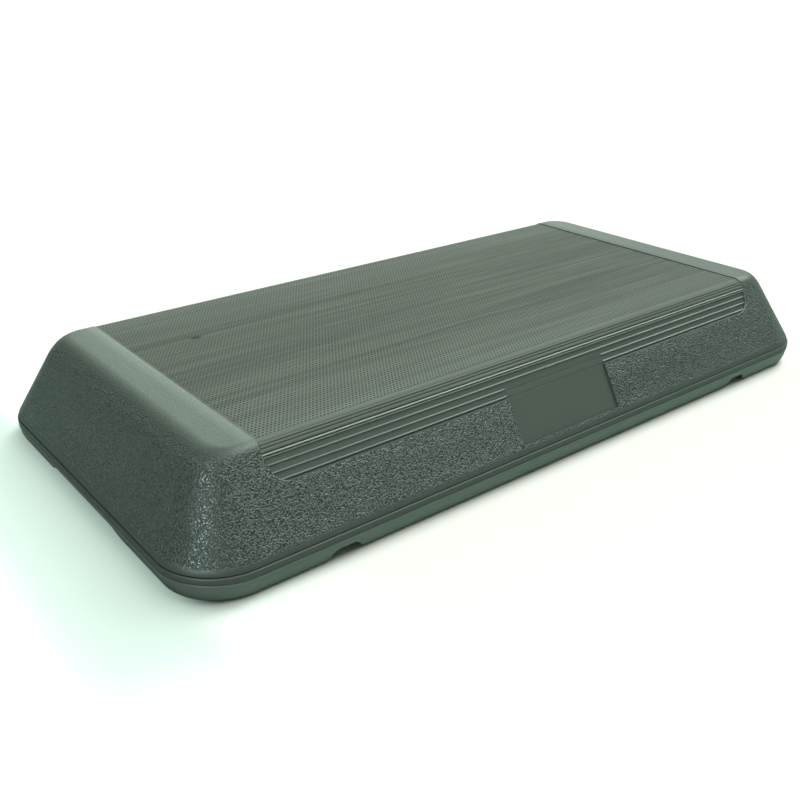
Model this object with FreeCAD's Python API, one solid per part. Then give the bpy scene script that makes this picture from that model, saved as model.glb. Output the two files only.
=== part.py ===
import FreeCAD, Part
import math
import os

from FreeCAD import Placement, Rotation, Vector

# Whole platform, in millimetres: a low hollow step that stands on rubber feet
platform_length = 800.0
platform_width = 406.0
platform_height = 101.6
plan_corner_radius = 56.0
parting_height = 18.5
skirt_ground_gap = 1.5
cut_overrun = 5.0
join_tolerance = 0.0001

# Deck shell: leaning walls, rounded crest and the flange that closes on the base frame
flange_height = 6.1
flange_chamfer = 1.2
edge_chamfer = 0.8
foot_land = 1.7
side_lean = 30.56
end_lean = 36.0
crown_corner_radius = 34.0
side_crest_radius = 12.0
end_crest_radius = 22.0
shell_wall = 5.0
cavity_corner = 44.0
deck_plate = 5.0

# Stiffening ribs and screw bosses inside the deck shell
rib_wall = 3.0
rib_end_inset = 50.0
rib_side_inset = 71.0
rib_columns = 5
rib_rows = 2
rib_lip_gap = 2.0
boss_sides = 12
boss_radius = 5.5
boss_height = 42.0

# Tread recess and its stepped nosing, measured down the long slopes from the crest edge
tread_end_inset = 87.5
tread_end_draw = 5.0
tread_corner_radius = 12.0
recess_drop = 34.8
band_count = 4
band_pitch = 6.7
first_band_drop = 12.2
band_step = 1.2
band_lip = 1.0
crest_depth = 0.4
face_depth = 1.2
valley_depth = 1.8
bead_drop = 10.5
bead_radius = 1.1
mat_edge_drop = 7.9

# Bare label panel sunk in the middle of each long slope
label_width = 130.0
label_head_band = 1
label_bottom_drop = 80.4
label_chamfer = 1.5

# Rubber tread mat bonded into the recess
mat_thickness = 2.0
mat_sink = 1.0
bond_gap = 0.3
mat_rib_radius = 0.7
mat_rib_count = 3
mat_rib_pitch = 2.7
first_mat_rib = 0.5

# Base frame: a ring with a tucked-in skirt, a ledge for the bottom panel and a locating lip
rim_height = 2.5
skirt_tuck = 6.5
skirt_corner_radius = 41.0
skirt_edge_chamfer = 1.8
skirt_bulge_level_share = 0.5
skirt_bulge_tuck_share = 0.32
skirt_wall = 4.5
pocket_inset = 7.0
ledge_width = 8.0
lip_height = 5.5
lip_wall = 3.0
lip_gap = 0.3

# Bottom panel, screwed to the deck bosses so that it traps the base frame
panel_height = 12.5
panel_thickness = 3.0
panel_gap = 0.5

# Cut-outs in the lower edge of the skirt
notch_end_inset = 142.0
notch_foot_width = 38.0
notch_top_width = 14.0
notch_height = 7.0
notch_round = 5.0
notch_flare = 0.8
grip_foot_width = 94.0
grip_top_width = 70.0

# Swages that stiffen the bottom panel
swage_count = 4
swage_end_inset = 180.0
swage_side_inset = 137.0
swage_width = 16.0
swage_corner = 4.0
swage_depth = 2.0

# Rubber block feet, each with a spigot plugged through the bottom panel
foot_end_inset = 65.0
foot_side_inset = 58.0
middle_foot_inset = 37.0
foot_length = 46.0
foot_width = 26.0
foot_corner = 5.0
foot_chamfer = 1.5
spigot_length = 16.0
spigot_width = 8.0
spigot_height = 6.0
spigot_gap = 0.3

# Pan-head screws that hold the bottom panel to the deck shell
screw_sides = 6
screw_radius = 2.0
screw_length = 22.0
screw_tip_length = 3.0
screw_hole_gap = 0.5
pilot_gap = 0.15
head_sides = 8
head_radius = 4.5
head_crown_radius = 3.2
head_height = 2.8
head_rim_height = 1.4
side_screw_columns = (-4, -2, 0, 2, 4)
side_screw_rows = 2
end_screw_columns = 5
end_screw_rows = 1

# Levels and slopes that follow from the sizes above
flange_top = parting_height + flange_height
foot_level = flange_top + foot_land
side_slope = math.radians(side_lean)
end_slope = math.radians(end_lean)
wall_rise = platform_height - flange_top
crown_half_width = platform_width / 2 - wall_rise * math.tan(side_slope)
corner_taper = (plan_corner_radius - crown_corner_radius) / wall_rise
rib_pitch_x = (platform_length / 2 - rib_end_inset) / rib_columns
rib_pitch_y = (platform_width / 2 - rib_side_inset) / rib_rows
swage_length = platform_length - 2 * swage_end_inset
swage_pitch = (platform_width - 2 * swage_side_inset) / (swage_count - 1)
tread_length = platform_length - 2 * tread_end_inset
tread_depth = mat_sink + mat_thickness + bond_gap
cavity_top = platform_height - tread_depth - deck_plate
panel_top = panel_height + panel_thickness
lip_top = parting_height + lip_height
rib_bottom = lip_top + rib_lip_gap
crest_setback = side_crest_radius * math.tan((math.pi / 2 - side_slope) / 2)
along_x = Vector(1, 0, 0)
along_y = Vector(0, 1, 0)
along_z = Vector(0, 0, 1)
centre = Vector(0, 0, 0)


def rounded_wire(points, radii):
    """Closed outline through corner points, each corner rounded to its own radius."""
    corners = []
    for index, corner in enumerate(points):
        to_last = (points[index - 1] - corner).normalize()
        to_next = (points[(index + 1) % len(points)] - corner).normalize()
        half_angle = to_last.getAngle(to_next) / 2
        setback = radii[index] / math.tan(half_angle)
        reach = radii[index] / math.sin(half_angle) - radii[index]
        inward = (to_last + to_next).normalize()
        corners.append((corner + to_last * setback, corner + inward * reach, corner + to_next * setback))
    edges = []
    for index, (start, middle, finish) in enumerate(corners):
        if radii[index] > 0:
            edges.append(Part.Arc(start, middle, finish).toShape())
        following = corners[(index + 1) % len(corners)][0]
        if not following.isEqual(finish, join_tolerance):
            edges.append(Part.LineSegment(finish, following).toShape())
    return Part.Wire(edges)


def rounded_rectangle(length, width, radius, level):
    """Rectangle with round corners, centred on the Z axis at one level."""
    x = length / 2
    y = width / 2
    points = [Vector(-x, -y, level), Vector(x, -y, level), Vector(x, y, level), Vector(-x, y, level)]
    return rounded_wire(points, [radius] * len(points))


def cut_rectangle(length, width, corner, level):
    """Rectangle with its corners cut off, centred on the Z axis at one level."""
    x = length / 2
    y = width / 2
    points = []
    for end, side in ((-1, -1), (1, -1), (1, 1), (-1, 1)):
        along_end = Vector(end * x, side * (y - corner), level)
        along_side = Vector(end * (x - corner), side * y, level)
        points.extend([along_end, along_side] if end == side else [along_side, along_end])
    return Part.makePolygon(points + points[:1])


def polygon_ring(sides, radius, level):
    """Regular polygon about the Z axis."""
    turns = [2 * math.pi * corner / sides for corner in range(sides + 1)]
    points = [Vector(radius * math.cos(turn), radius * math.sin(turn), level) for turn in turns]
    return Part.makePolygon(points)


def wall_spans(level, inset=0):
    """Length and width over the leaning deck walls at a level, moved in square to the walls."""
    rise = level - flange_top
    length = platform_length - 2 * (rise * math.tan(end_slope) + inset / math.cos(end_slope))
    width = platform_width - 2 * (rise * math.tan(side_slope) + inset / math.cos(side_slope))
    return length, width


def wall_outline(level):
    """Plan outline of the leaning deck walls at a level."""
    length, width = wall_spans(level)
    return rounded_rectangle(length, width, plan_corner_radius - (level - flange_top) * corner_taper, level)


def cavity_outline(level, inset):
    """Plan outline inside the deck walls at a level, with cut corners that leave the wall stout there."""
    length, width = wall_spans(level, inset)
    return cut_rectangle(length, width, cavity_corner, level)


def rim_outline(level, inset=0):
    """Plan outline of the widest part of the platform, where the two mouldings meet."""
    radius = plan_corner_radius - inset
    return rounded_rectangle(platform_length - 2 * inset, platform_width - 2 * inset, radius, level)


def raised(wire, height):
    """Solid raised from a flat outline, or lowered where the height is negative."""
    return Part.Face(wire).extrude(along_z * height)


def stacked(outlines):
    """Solid with straight walls from each outline to the next one above it."""
    return Part.makeLoft(outlines, True, True)


def both_sides(shape):
    """A shape on the front long side together with its mirror image on the rear."""
    return shape.fuse(shape.mirror(centre, along_y))


def on_slope(drop, depth):
    """Point of the front slope's section: drop down from the crest edge, depth into the wall."""
    y = -crown_half_width - drop * math.sin(side_slope) + depth * math.cos(side_slope)
    z = platform_height - drop * math.cos(side_slope) - depth * math.sin(side_slope)
    return Vector(0, y, z)


def crest_point(depth, turn_share):
    """Point on the rounded front crest, at a depth, between the slope (0) and the top (1)."""
    radius = side_crest_radius - depth
    turn = side_slope + (math.pi / 2 - side_slope) * turn_share
    y = -crown_half_width + crest_setback - radius * math.cos(turn)
    z = platform_height - side_crest_radius + radius * math.sin(turn)
    return Vector(0, y, z)


def crest_arc(depth):
    """Arc of the front crest's section, from the slope up to the level top."""
    return Part.Arc(crest_point(depth, 0), crest_point(depth, 1 / 2), crest_point(depth, 1)).toShape()


def chain(points):
    """Straight edges that join points in order."""
    return [Part.LineSegment(first, last).toShape() for first, last in zip(points, points[1:])]


def along_length(edges, length):
    """Solid of a closed section in the YZ plane, drawn out along X about the middle."""
    solid = Part.Face(Part.Wire(Part.__sortEdges__(edges))).extrude(along_x * length)
    return solid.translated(along_x * (-length / 2))


def on_front_slope(shape):
    """Move a shape drawn flat, with Y up the slope and Z out of it, onto the front slope."""
    crest_edge = Vector(0, -crown_half_width, platform_height)
    shape.Placement = Placement(crest_edge, Rotation(along_x, 90 - side_lean))
    return shape


def crest_rounded(body):
    """Round the crest, tighter along the long sides than along the ends."""
    document = FreeCAD.newDocument("crest")
    base = document.addObject("Part::Feature", "base")
    base.Shape = body
    rounded = document.addObject("Part::Fillet", "rounded")
    rounded.Base = base
    sizes = []
    for index, edge in enumerate(body.Edges, 1):
        if edge.BoundBox.ZMin < platform_height - join_tolerance:
            continue
        start, finish = [side_crest_radius, end_crest_radius]
        if edge.BoundBox.XLength < join_tolerance:
            start = end_crest_radius
        elif edge.BoundBox.YLength < join_tolerance:
            finish = side_crest_radius
        else:
            first = edge.valueAt(edge.FirstParameter)
            last = edge.valueAt(edge.LastParameter)
            if abs(first.x) > abs(last.x):
                start, finish = finish, start
        sizes.append((index, start, finish))
    rounded.Edges = sizes
    document.recompute()
    shape = rounded.Shape.copy()
    FreeCAD.closeDocument(document.Name)
    return shape


def deck_outside():
    """Closed outer form of the deck: bottom flange, leaning walls and rounded crest."""
    wall_foot = wall_outline(foot_level)
    outlines = [
        rim_outline(parting_height, edge_chamfer),
        rim_outline(parting_height + edge_chamfer),
        rim_outline(flange_top - flange_chamfer),
        wall_foot.translated(along_z * -foot_land),
        wall_foot,
        wall_outline(platform_height),
    ]
    return crest_rounded(stacked(outlines))


def deck_cavity(bottom):
    """Space inside the deck walls, from a level up to the underside of the deck plate."""
    wall_foot = cavity_outline(foot_level, shell_wall)
    mouth = wall_foot.translated(along_z * (bottom - foot_level))
    return stacked([mouth, wall_foot, cavity_outline(cavity_top, shell_wall)])


def deck_ribs():
    """Grid of stiffening ribs under the deck plate, ended by the walls."""
    height = cavity_top - rib_bottom
    ribs = []
    for column in range(-rib_columns, rib_columns + 1):
        corner = Vector(column * rib_pitch_x - rib_wall / 2, -platform_width / 2, rib_bottom)
        ribs.append(Part.makeBox(rib_wall, platform_width, height, corner))
    for row in range(-rib_rows, rib_rows + 1):
        corner = Vector(-platform_length / 2, row * rib_pitch_y - rib_wall / 2, rib_bottom)
        ribs.append(Part.makeBox(platform_length, rib_wall, height, corner))
    grid = ribs[0].multiFuse(ribs[1:])
    return grid.common(deck_cavity(rib_bottom))


def screw_places():
    """Plan places of the screws, each at a crossing of two ribs."""
    places = []
    for column in side_screw_columns:
        for side in (-1, 1):
            places.append(Vector(column * rib_pitch_x, side * side_screw_rows * rib_pitch_y, 0))
    end_x = end_screw_columns * rib_pitch_x
    for end in (-1, 1):
        for side in (-1, 1):
            places.append(Vector(end * end_x, side * end_screw_rows * rib_pitch_y, 0))
    return places


def posts(sides, radius, bottom, height):
    """Like upright prisms, one at each screw."""
    post = raised(polygon_ring(sides, radius, bottom), height)
    return [post.translated(place) for place in screw_places()]


def band_drop(band):
    """How far down the slope the raised lip of a nosing band stands."""
    return first_band_drop + band * band_pitch


def tread_recess():
    """Space cut from the deck for the mat, with the stepped nosing on both long slopes."""
    points = [on_slope(recess_drop, -cut_overrun), on_slope(recess_drop, valley_depth)]
    for band in reversed(range(band_count)):
        drop = band_drop(band)
        points.append(on_slope(drop + band_step, valley_depth))
        points.append(on_slope(drop, crest_depth))
        lip_foot = drop - band_lip if band > 0 else bead_drop + bead_radius
        points.append(on_slope(lip_foot, face_depth))
    bead_head = on_slope(bead_drop - bead_radius, face_depth)
    bead = Part.Arc(points[-1], on_slope(bead_drop, face_depth - bead_radius), bead_head).toShape()
    ledge_top = on_slope(mat_edge_drop, valley_depth)
    ledge_foot = on_slope(mat_edge_drop, tread_depth)
    mat_ledge = chain([bead_head, ledge_top, ledge_foot, crest_point(tread_depth, 0)])
    level_top = Vector(0, 0, platform_height - tread_depth)
    above = Vector(0, 0, platform_height + cut_overrun)
    beyond = Vector(0, -crown_half_width - cut_overrun, platform_height + cut_overrun)
    closing = chain([crest_point(tread_depth, 1), level_top, above, beyond, points[0]])
    section = chain(points) + [bead] + mat_ledge + [crest_arc(tread_depth)] + closing
    return both_sides(along_length(section, platform_length)).common(tread_reach())


def tread_reach():
    """Block that ends the tread at both ends, drawn in and rounded at the foot, seen from the front."""
    x = tread_length / 2
    foot = x - tread_end_draw
    bottom = on_slope(recess_drop, 0).z
    shoulder = on_slope(mat_edge_drop, tread_depth).z
    top = platform_height + 2 * cut_overrun
    y = -platform_width / 2
    points = [Vector(-foot, y, bottom), Vector(foot, y, bottom), Vector(x, y, shoulder), Vector(x, y, top),
              Vector(-x, y, top), Vector(-x, y, shoulder)]
    outline = rounded_wire(points, [tread_corner_radius, tread_corner_radius, 0, 0, 0, 0])
    return Part.Face(outline).extrude(along_y * platform_width)


def label_recess():
    """Sunk bare panel on each long slope, with the nosing bands chamfered where they meet it."""
    head = band_drop(label_head_band) + band_step
    corner = Vector(-label_width / 2, -label_bottom_drop, -valley_depth)
    panel = Part.makeBox(label_width, label_bottom_drop - head, valley_depth + cut_overrun, corner)
    inner = label_width / 2
    outer = inner + label_chamfer
    low = -valley_depth
    corners = [(-inner, low), (inner, low), (outer, 0), (-outer, 0), (-inner, low)]
    section = Part.makePolygon([Vector(x, -recess_drop, z) for x, z in corners])
    ends = Part.Face(section).extrude(along_y * (recess_drop - head))
    return both_sides(on_front_slope(panel.fuse(ends)))


def deck_shell():
    """Upper moulding: hollow textured deck with ribs and screw bosses inside."""
    shell = deck_outside().cut(deck_cavity(parting_height - cut_overrun))
    bosses = posts(boss_sides, boss_radius, panel_top, boss_height)
    shell = shell.multiFuse([deck_ribs()] + bosses)
    pilot_depth = panel_height + screw_length + cut_overrun - panel_top
    pilots = posts(screw_sides, screw_radius + pilot_gap, panel_top, pilot_depth)
    return shell.cut(pilots + [tread_recess(), label_recess()]).removeSplitter()


def tread_mat():
    """Rubber mat that covers the deck and folds over both long edges, with fine edge ribs."""
    under = tread_depth - bond_gap
    edge_drop = mat_edge_drop - bond_gap
    outside = chain([on_slope(edge_drop, under), on_slope(edge_drop, mat_sink), crest_point(mat_sink, 0)])
    top_point = Vector(0, 0, platform_height - mat_sink)
    under_point = Vector(0, 0, platform_height - under)
    across = chain([crest_point(mat_sink, 1), top_point, under_point, crest_point(under, 1)])
    return_edge = chain([crest_point(under, 0), on_slope(edge_drop, under)])
    section = outside + [crest_arc(mat_sink)] + across + [crest_arc(under)] + return_edge
    length = tread_length - 2 * bond_gap
    half = along_length(section, length)
    ribs = []
    crest_length = (side_crest_radius - mat_sink) * (math.pi / 2 - side_slope)
    for rib in range(mat_rib_count):
        place = crest_point(mat_sink, (first_mat_rib + rib * mat_rib_pitch) / crest_length)
        ribs.append(Part.makeCylinder(mat_rib_radius, length, place - along_x * (length / 2), along_x))
    return both_sides(half.multiFuse(ribs)).removeSplitter()


def skirt_notch(foot_width, top_width, depth):
    """Round-shouldered cut-out for the lower edge of the skirt, drawn out along Y."""
    foot = foot_width / 2
    top = top_width / 2
    base = skirt_ground_gap - notch_flare
    head = skirt_ground_gap + notch_height
    low = base - cut_overrun
    wide = foot + notch_round
    points = [Vector(-wide, 0, low), Vector(wide, 0, low), Vector(wide, 0, base), Vector(foot, 0, base),
              Vector(top, 0, head), Vector(-top, 0, head), Vector(-foot, 0, base), Vector(-wide, 0, base)]
    radii = [0, 0, 0, notch_round, notch_round, notch_round, notch_round, 0]
    solid = Part.Face(rounded_wire(points, radii)).extrude(along_y * depth)
    return solid.translated(along_y * (-depth / 2))


def skirt_notches():
    """Two cut-outs under each long side and a wider hand grip under each end."""
    depth = 2 * (skirt_tuck + skirt_wall + cut_overrun)
    cutters = []
    for end in (-1, 1):
        for side in (-1, 1):
            cutter = skirt_notch(notch_foot_width, notch_top_width, depth)
            place = Vector(end * (platform_length / 2 - notch_end_inset), side * platform_width / 2, 0)
            cutters.append(cutter.translated(place))
        grip = skirt_notch(grip_foot_width, grip_top_width, depth)
        grip.rotate(centre, along_z, 90)
        cutters.append(grip.translated(along_x * (end * platform_length / 2)))
    return cutters


def skirt_outline(level, tuck_share, inset=0):
    """Plan outline of the skirt, between the rim (share 0) and its tucked-in lower edge (share 1)."""
    reach = 2 * (skirt_tuck * tuck_share + inset)
    radius = plan_corner_radius + (skirt_corner_radius - plan_corner_radius) * tuck_share - inset
    return rounded_rectangle(platform_length - reach, platform_width - reach, radius, level)


def base_frame():
    """Lower moulding: the visible skirt with its cut-outs, the panel ledge and the locating lip."""
    shoulder = parting_height - rim_height
    bulge_level = skirt_ground_gap + (shoulder - skirt_ground_gap) * skirt_bulge_level_share
    outside = stacked([
        skirt_outline(skirt_ground_gap, 1, skirt_edge_chamfer),
        skirt_outline(skirt_ground_gap + skirt_edge_chamfer, 1),
        skirt_outline(bulge_level, skirt_bulge_tuck_share),
        rim_outline(shoulder),
        rim_outline(parting_height - edge_chamfer),
        rim_outline(parting_height, edge_chamfer),
    ])
    lip_outline = cavity_outline(foot_level, shell_wall + lip_gap)
    lip = raised(lip_outline.translated(along_z * (panel_top - foot_level)), lip_top - panel_top)
    pocket_mouth = skirt_outline(skirt_ground_gap - cut_overrun, 1, skirt_wall)
    pocket_foot = rim_outline(panel_height, pocket_inset)
    pocket = stacked([pocket_mouth, pocket_foot, rim_outline(panel_top, pocket_inset)])
    window_reach = 2 * (pocket_inset + ledge_width)
    window_length = platform_length - window_reach
    window_width = platform_width - window_reach
    window_outline = cut_rectangle(window_length, window_width, cavity_corner, panel_top)
    window = raised(window_outline, parting_height + cut_overrun - panel_top)
    inside_lip = cavity_outline(foot_level, shell_wall + lip_gap + lip_wall)
    inside_lip = inside_lip.translated(along_z * (parting_height - foot_level))
    lip_mouth = raised(inside_lip, lip_height + cut_overrun)
    return outside.fuse(lip).cut([pocket, window, lip_mouth] + skirt_notches()).removeSplitter()


def foot_places():
    """Name and plan place of each rubber foot."""
    places = {}
    corner_x = platform_length / 2 - foot_end_inset
    corner_y = platform_width / 2 - foot_side_inset
    middle_y = platform_width / 2 - middle_foot_inset
    for side, depth_name in ((-1, "front"), (1, "rear")):
        for end, length_name in ((-1, "left"), (1, "right")):
            places[f"foot_{depth_name}_{length_name}"] = Vector(end * corner_x, side * corner_y, 0)
        places[f"foot_{depth_name}_middle"] = Vector(0, side * middle_y, 0)
    return places


def block(length, width, bottom, height):
    """Plain block centred on the Z axis."""
    return Part.makeBox(length, width, height, Vector(-length / 2, -width / 2, bottom))


def swages(inset, bottom):
    """Long bars with cut corners side by side, for the swages pressed up into the bottom panel."""
    outline = cut_rectangle(swage_length - 2 * inset, swage_width - 2 * inset, swage_corner, bottom)
    bar = raised(outline, swage_depth)
    offsets = [(index - (swage_count - 1) / 2) * swage_pitch for index in range(swage_count)]
    return [bar.translated(along_y * offset) for offset in offsets]


def bottom_panel():
    """Flat panel that closes the underside, with swages, screw holes and holes for the feet."""
    panel = raised(rim_outline(panel_height, pocket_inset + panel_gap), panel_thickness)
    panel = panel.multiFuse(swages(0, panel_top))
    through = panel_thickness + 2 * cut_overrun
    low = panel_height - cut_overrun
    spigot_hole = block(spigot_length + 2 * spigot_gap, spigot_width + 2 * spigot_gap, low, through)
    foot_holes = [spigot_hole.translated(place) for place in foot_places().values()]
    screw_holes = posts(screw_sides, screw_radius + screw_hole_gap, low, through)
    return panel.cut(foot_holes + screw_holes + swages(panel_thickness, panel_height)).removeSplitter()


def rubber_foot():
    """Rubber block with a spigot that plugs up through the bottom panel."""
    sole_length = foot_length - 2 * foot_chamfer
    sole_width = foot_width - 2 * foot_chamfer
    pad = stacked([
        cut_rectangle(sole_length, sole_width, foot_corner, 0),
        cut_rectangle(foot_length, foot_width, foot_corner, foot_chamfer),
        cut_rectangle(foot_length, foot_width, foot_corner, panel_height),
    ])
    return pad.fuse(block(spigot_length, spigot_width, panel_height, spigot_height)).removeSplitter()


def case_screw():
    """Self-tapping screw, head down against the bottom panel."""
    head = stacked([
        polygon_ring(head_sides, head_crown_radius, panel_height - head_height),
        polygon_ring(head_sides, head_radius, panel_height - head_rim_height),
        polygon_ring(head_sides, head_radius, panel_height),
    ])
    point = panel_height + screw_length
    thread_end = polygon_ring(screw_sides, screw_radius, point - screw_tip_length)
    shank = stacked([polygon_ring(screw_sides, screw_radius, panel_height), thread_end])
    tip = stacked([thread_end, Part.Vertex(0, 0, point)])
    return head.multiFuse([shank, tip]).removeSplitter()


def save(name, shape):
    """Write one named piece."""
    shape.exportStep(os.path.join("parts", name + ".step"))


os.makedirs("parts", exist_ok=True)
save("deck_shell", deck_shell())
save("tread_mat", tread_mat())
save("base_frame", base_frame())
save("bottom_panel", bottom_panel())
for foot_name, foot_place in foot_places().items():
    save(foot_name, rubber_foot().translated(foot_place))
save("case_screws", Part.Compound([case_screw().translated(place) for place in screw_places()]))
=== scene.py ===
import math

import bmesh
import bpy
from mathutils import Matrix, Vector


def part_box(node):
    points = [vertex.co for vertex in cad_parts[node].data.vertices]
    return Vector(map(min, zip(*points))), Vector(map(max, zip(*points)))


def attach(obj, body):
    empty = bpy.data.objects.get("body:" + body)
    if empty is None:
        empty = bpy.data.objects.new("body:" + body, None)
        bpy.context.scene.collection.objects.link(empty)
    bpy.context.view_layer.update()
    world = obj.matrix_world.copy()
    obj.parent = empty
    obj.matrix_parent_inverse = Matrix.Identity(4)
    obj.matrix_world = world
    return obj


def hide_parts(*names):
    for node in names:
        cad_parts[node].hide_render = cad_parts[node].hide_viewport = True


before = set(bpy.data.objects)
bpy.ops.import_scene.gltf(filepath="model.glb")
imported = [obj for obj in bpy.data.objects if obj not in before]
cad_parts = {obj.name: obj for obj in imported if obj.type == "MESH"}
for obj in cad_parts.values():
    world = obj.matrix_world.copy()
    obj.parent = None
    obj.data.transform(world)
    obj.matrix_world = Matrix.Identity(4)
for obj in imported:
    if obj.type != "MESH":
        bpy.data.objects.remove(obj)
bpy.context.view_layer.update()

# Base frame: the lower moulding, seen as a rounded skirt below the parting line. Injection-moulded
# polypropylene, trapped between the deck's flange and the bottom panel, with finger cut-outs below.
mm = 0.001
weld = 0.001 * mm
smooth_angle = math.radians(32)
round_steps = 6
rim_x, rim_y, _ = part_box("base_frame")[1]
parting = 18.5 * mm
parting_gap = 0.03 * mm
ground_gap = 1.1 * mm
corner_radius = 56 * mm
corner_steps = 24
rim_round = 0.9 * mm
rim_turns = [math.radians(90 - 22.5 * k) for k in range(5)]
rim_foot = 16 * mm
# Each pair of an edge, curl or groove is how far in and how far up one of its points stands.
rim_edge = [(0, 0.6 * mm), (0.15 * mm, 0.25 * mm), (0.49 * mm, 0)]
rim_step = 0.7 * mm
rim_step_drop = 0.2 * mm
skirt_foot = 2.8 * mm
skirt_tuck = 4.6 * mm
skirt_steps = 12
skirt_curl = [(0.9 * mm, 0.5 * mm), (1.6 * mm, 0.2 * mm), (2.3 * mm, 0)]
sole_inset = 9.75 * mm
sole_curl = [(-0.4 * mm, 0.1 * mm), (0, 0.5 * mm)]
pocket_inset = 7 * mm
panel_under = 12.5 * mm
ledge_inset = 15 * mm
ledge_level = 15.45 * mm
ledge_draft = 0.01 * mm
lip_gap = 0.05 * mm
notch_x = rim_x - 136 * mm
notch_foot = 20.5 * mm
notch_head = 9.5 * mm
notch_height = 10.4 * mm
grip_foot = 88 * mm
grip_head = 62 * mm
grip_height = 11.2 * mm
shoulder_round = 5 * mm
shoulder_sink = 0.8 * mm
cut_below = 5 * mm
cut_inward = 25 * mm
cut_through = 40 * mm


def linear(hex_colour):
    """Linear RGBA of an sRGB hex colour."""
    parts = [int(hex_colour[k:k + 2], 16) / 255 for k in (1, 3, 5)]
    return [p / 12.92 if p <= 0.04045 else ((p + 0.055) / 1.055) ** 2.4 for p in parts] + [1.0]


def node(tree, kind, settings=None, inputs=None):
    """Add a shader node, give it its settings, and set or link its inputs."""
    made = tree.nodes.new(kind)
    for name, value in (settings or {}).items():
        setattr(made, name, value)
    for name, value in (inputs or {}).items():
        if isinstance(value, bpy.types.NodeSocket):
            tree.links.new(value, made.inputs[name])
        else:
            made.inputs[name].default_value = value
    return made


def new_material(name):
    """An empty node material and its tree."""
    material = bpy.data.materials.new(name)
    material.use_nodes = True
    material.node_tree.nodes.clear()
    return material, material.node_tree


def edit(piece):
    """Make a piece the only one selected and open it for editing."""
    bpy.ops.object.select_all(action="DESELECT")
    bpy.context.view_layer.objects.active = piece
    piece.select_set(True)
    bpy.ops.object.mode_set(mode="EDIT")
    bpy.ops.mesh.select_mode(type="EDGE")


def open_piece(name, material):
    """Start an empty piece of a material and open it for editing."""
    piece = bpy.data.objects.new(name, bpy.data.meshes.new(name))
    bpy.context.collection.objects.link(piece)
    piece.data.materials.append(material)
    edit(piece)
    return piece


def pick(piece, wanted):
    """Select just the edges of the open piece that pass a test."""
    bpy.ops.mesh.select_all(action="DESELECT")
    mesh = bmesh.from_edit_mesh(piece.data)
    for edge in mesh.edges:
        if wanted(edge):
            edge.select_set(True)
    bmesh.update_edit_mesh(piece.data)


def close_piece(piece):
    """Turn the faces outward, leave edit mode and smooth all but the sharp edges."""
    bpy.ops.mesh.select_all(action="SELECT")
    bpy.ops.mesh.remove_doubles(threshold=weld)
    bpy.ops.mesh.normals_make_consistent(inside=False)
    bpy.ops.object.mode_set(mode="OBJECT")
    bpy.ops.object.shade_smooth_by_angle(angle=smooth_angle)


def wrap_rings(name, material, rings, around):
    """Walls from each round-cornered outline to the next, closed on itself or with flat end caps."""
    piece = open_piece(name, material)
    bmesh.from_edit_mesh(piece.data).verts.layers.int.new("ring")
    for number, (half_x, half_y, radius, level) in enumerate(rings, 1):
        bpy.ops.mesh.select_all(action="DESELECT")
        bpy.ops.mesh.primitive_plane_add(size=2, calc_uvs=False, location=(0, 0, level))
        bpy.ops.transform.resize(value=(half_x, half_y, 1))
        bpy.ops.mesh.bevel(offset=radius, segments=corner_steps, affect="VERTICES")
        bpy.ops.mesh.delete(type="ONLY_FACE")
        mesh = bmesh.from_edit_mesh(piece.data)
        tags = mesh.verts.layers.int["ring"]
        for vertex in mesh.verts:
            vertex[tags] = vertex[tags] or number

    def on_rings(*numbers):
        def wanted(edge):
            tags = bmesh.from_edit_mesh(piece.data).verts.layers.int["ring"]
            ends = {vertex[tags] for vertex in edge.verts}
            return len(ends) == 1 and ends <= set(numbers)
        pick(piece, wanted)

    last = len(rings)
    for number in range(1, last):
        on_rings(number, number + 1)
        bpy.ops.mesh.bridge_edge_loops()
    if around:
        on_rings(last, 1)
        bpy.ops.mesh.bridge_edge_loops()
    else:
        for number in (1, last):
            on_rings(number)
            bpy.ops.mesh.edge_face_add()
    close_piece(piece)
    return piece


def rim_ring(inset, level):
    """Outline moved in from the widest edge, at a level."""
    return rim_x - inset, rim_y - inset, corner_radius - inset, level


def bar(name, material, points, setbacks, reach):
    """Solid drawn out from a flat outline, its corners rounded back by their own lengths along the edges."""
    piece = open_piece(name, material)
    mesh = bmesh.from_edit_mesh(piece.data)
    back = mesh.verts.layers.float.new("setback")
    corners = [mesh.verts.new(point) for point in points]
    for corner, setback in zip(corners, setbacks):
        corner[back] = setback
    mesh.faces.new(corners)
    bmesh.update_edit_mesh(piece.data)
    bpy.ops.mesh.select_mode(type="VERT")
    for size in sorted(set(setbacks) - {0}):
        bpy.ops.mesh.select_all(action="DESELECT")
        mesh = bmesh.from_edit_mesh(piece.data)
        back = mesh.verts.layers.float["setback"]
        for vertex in mesh.verts:
            vertex.select_set(abs(vertex[back] - size) < weld)
        bmesh.update_edit_mesh(piece.data)
        bpy.ops.mesh.bevel(offset=size, segments=round_steps, affect="VERTICES")
    bpy.ops.mesh.select_all(action="SELECT")
    bpy.ops.mesh.extrude_region_move(TRANSFORM_OT_translate={"value": reach})
    close_piece(piece)
    return piece


def combine(piece, other, operation="DIFFERENCE"):
    """Cut a piece with another, or keep what they share, and drop the other."""
    modifier = piece.modifiers.new("combine", "BOOLEAN")
    modifier.object = other
    modifier.operation = operation
    modifier.solver = "EXACT"
    modifier.material_mode = "TRANSFER"
    bpy.context.view_layer.objects.active = piece
    bpy.ops.object.modifier_apply(modifier="combine")
    bpy.data.objects.remove(other)


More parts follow.
